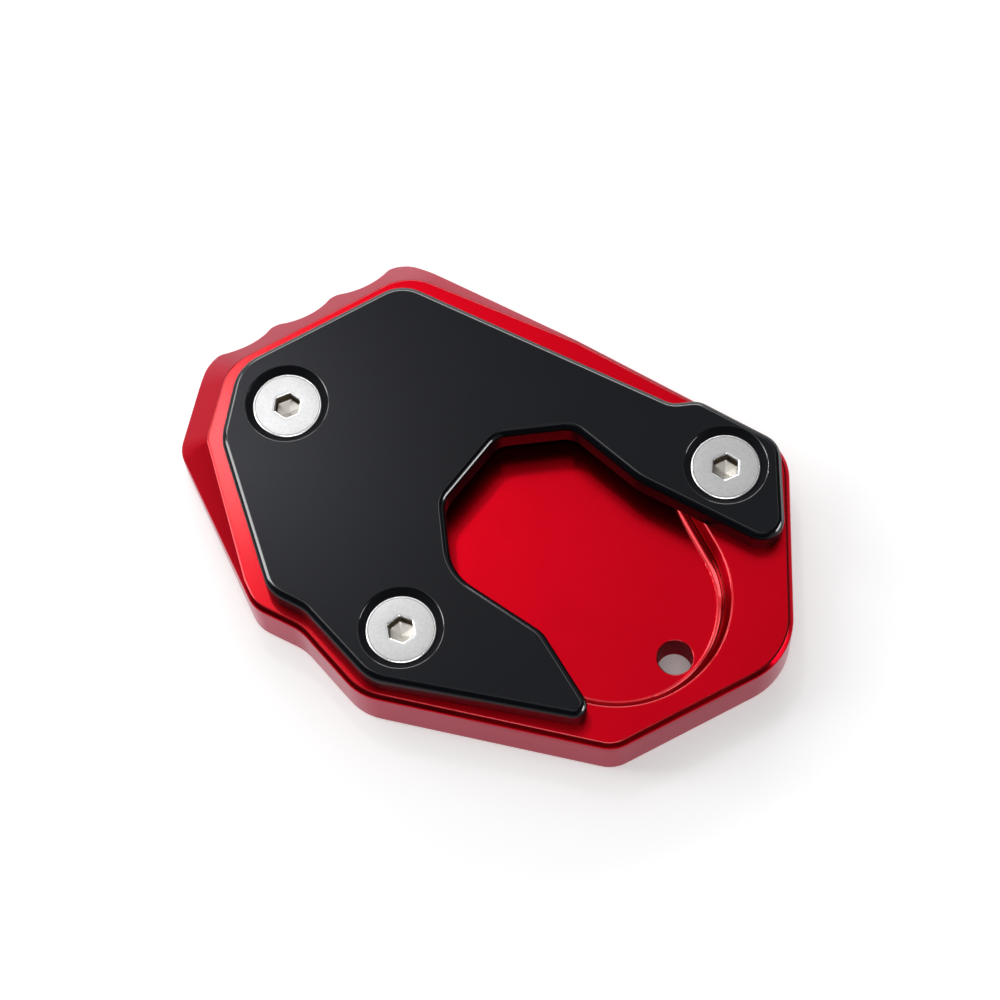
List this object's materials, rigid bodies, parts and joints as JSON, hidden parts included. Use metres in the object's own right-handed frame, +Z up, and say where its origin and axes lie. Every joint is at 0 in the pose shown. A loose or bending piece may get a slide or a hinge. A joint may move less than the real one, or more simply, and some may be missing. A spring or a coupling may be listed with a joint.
{
  "type": "kickstand foot enlarger",
  "caption": "Wide aluminium plate that clamps round a motorbike side stand's foot: a pocketed base under a C-shaped clamp plate held by countersunk screws, so that the stand doesn't sink.",
  "frame": {"origin": "middle of the base plate's bounding box, on its underside, which lies on the ground", "axes": "+Z up out of the ground face, +X along the long side towards the clamp plate's arm, +Y towards the back apex"},
  "size_m": [0.1046, 0.0964, 0.0165],
  "materials": {
    "red_anodised": "satin, red anodised",
    "black_anodised": "satin, black anodised",
    "stainless_steel": "satin, turned"
  },
  "bodies": {
    "root": {"base_plate": "red_anodised", "clamp_plate": "black_anodised", "clamp_screws": "stainless_steel"}
  },
  "joints": []
}
